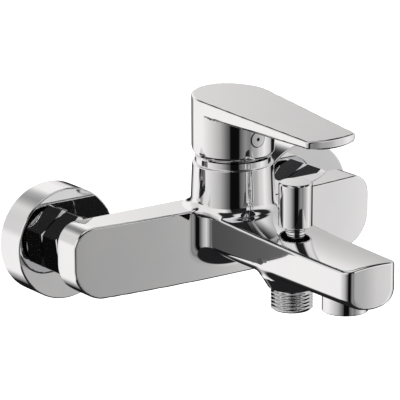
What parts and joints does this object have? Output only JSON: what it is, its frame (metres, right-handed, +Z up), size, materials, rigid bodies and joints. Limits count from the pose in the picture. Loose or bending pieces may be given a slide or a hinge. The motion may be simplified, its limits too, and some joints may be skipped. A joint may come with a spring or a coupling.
{
  "type": "wall mounted bath faucet",
  "caption": "Wall mounted single lever bath mixer with a cross bar on two covered unions, a flat lever, a spout with aerator, a pull-up diverter and a threaded shower outlet.",
  "frame": {"origin": "on the wall plane, midway between the hot and the cold inlet", "axes": "+X to the right along the wall, +Y into the wall, +Z up"},
  "size_m": [0.2072, 0.1886, 0.1033],
  "materials": {
    "chrome": "mirror-bright chrome plate on brass",
    "brass": "bare machined brass",
    "steel": "stainless steel",
    "rubber": "matt black seal rubber",
    "white_plastic": "moulded acetal",
    "ceramic": "lapped alumina ceramic",
    "index_plug": "satin chrome plug with a small dark eye"
  },
  "bodies": {
    "fixture": {"body_casting": "chrome", "wall_escutcheon_hot": "chrome", "wall_escutcheon_cold": "chrome", "union_nut_hot": "chrome", "union_nut_cold": "chrome", "union_washer_hot": "rubber", "union_washer_cold": "rubber", "inlet_tail_hot": "brass", "inlet_tail_cold": "brass", "check_valve_hot": "white_plastic", "check_valve_cold": "white_plastic", "eccentric_union_hot": "brass", "eccentric_union_cold": "brass", "cartridge_housing": "white_plastic", "cartridge_base": "white_plastic", "port_seals": "rubber", "fixed_disc": "ceramic", "retaining_nut": "brass", "dome_cap": "chrome", "diverter_bush": "chrome", "diverter_o_ring": "rubber", "diverter_spring": "steel", "shower_outlet": "chrome", "outlet_washer": "rubber", "outlet_check_valve": "white_plastic", "aerator_housing": "chrome", "aerator_insert": "white_plastic", "aerator_screen": "steel", "aerator_washer": "rubber"},
    "turret": {"stem_holder": "white_plastic", "stem_pin": "steel"},
    "lever": {"lever_handle": "chrome", "lever_stem": "brass", "lever_screw": "steel", "index_plug": "index_plug"},
    "disc_carriage": {"disc_carrier": "white_plastic", "moving_disc": "ceramic"},
    "diverter": {"diverter_knob": "chrome", "diverter_stem": "steel", "diverter_plug": "brass", "diverter_upper_seal": "rubber", "diverter_lower_seal": "rubber"}
  },
  "joints": [
    {"name": "lever_swivel", "type": "hinge", "parent": "fixture", "child": "turret", "pos_m": [0, -0.0559, 0.042], "axis": [0, 0, 1], "range_deg": [-50, 50]},
    {"name": "lever_lift", "type": "hinge", "parent": "turret", "child": "lever", "pos_m": [0, -0.0559, 0.042], "axis": [-1, 0, 0], "range_deg": [0, 24]},
    {"name": "disc_slide", "type": "slide", "parent": "turret", "child": "disc_carriage", "axis": [0, -1, 0], "range_m": [0, 0.00503]},
    {"name": "diverter_pull", "type": "slide", "parent": "fixture", "child": "diverter", "axis": [0, 0, 1], "range_m": [0, 0.008], "stiffness_N_per_m": 120, "springref_m": -0.005, "deforming": ["diverter_spring"]}
  ],
  "couplings": [
    {"joint": "disc_slide", "follows": "lever_lift", "m_per_rad": 0.012}
  ]
}
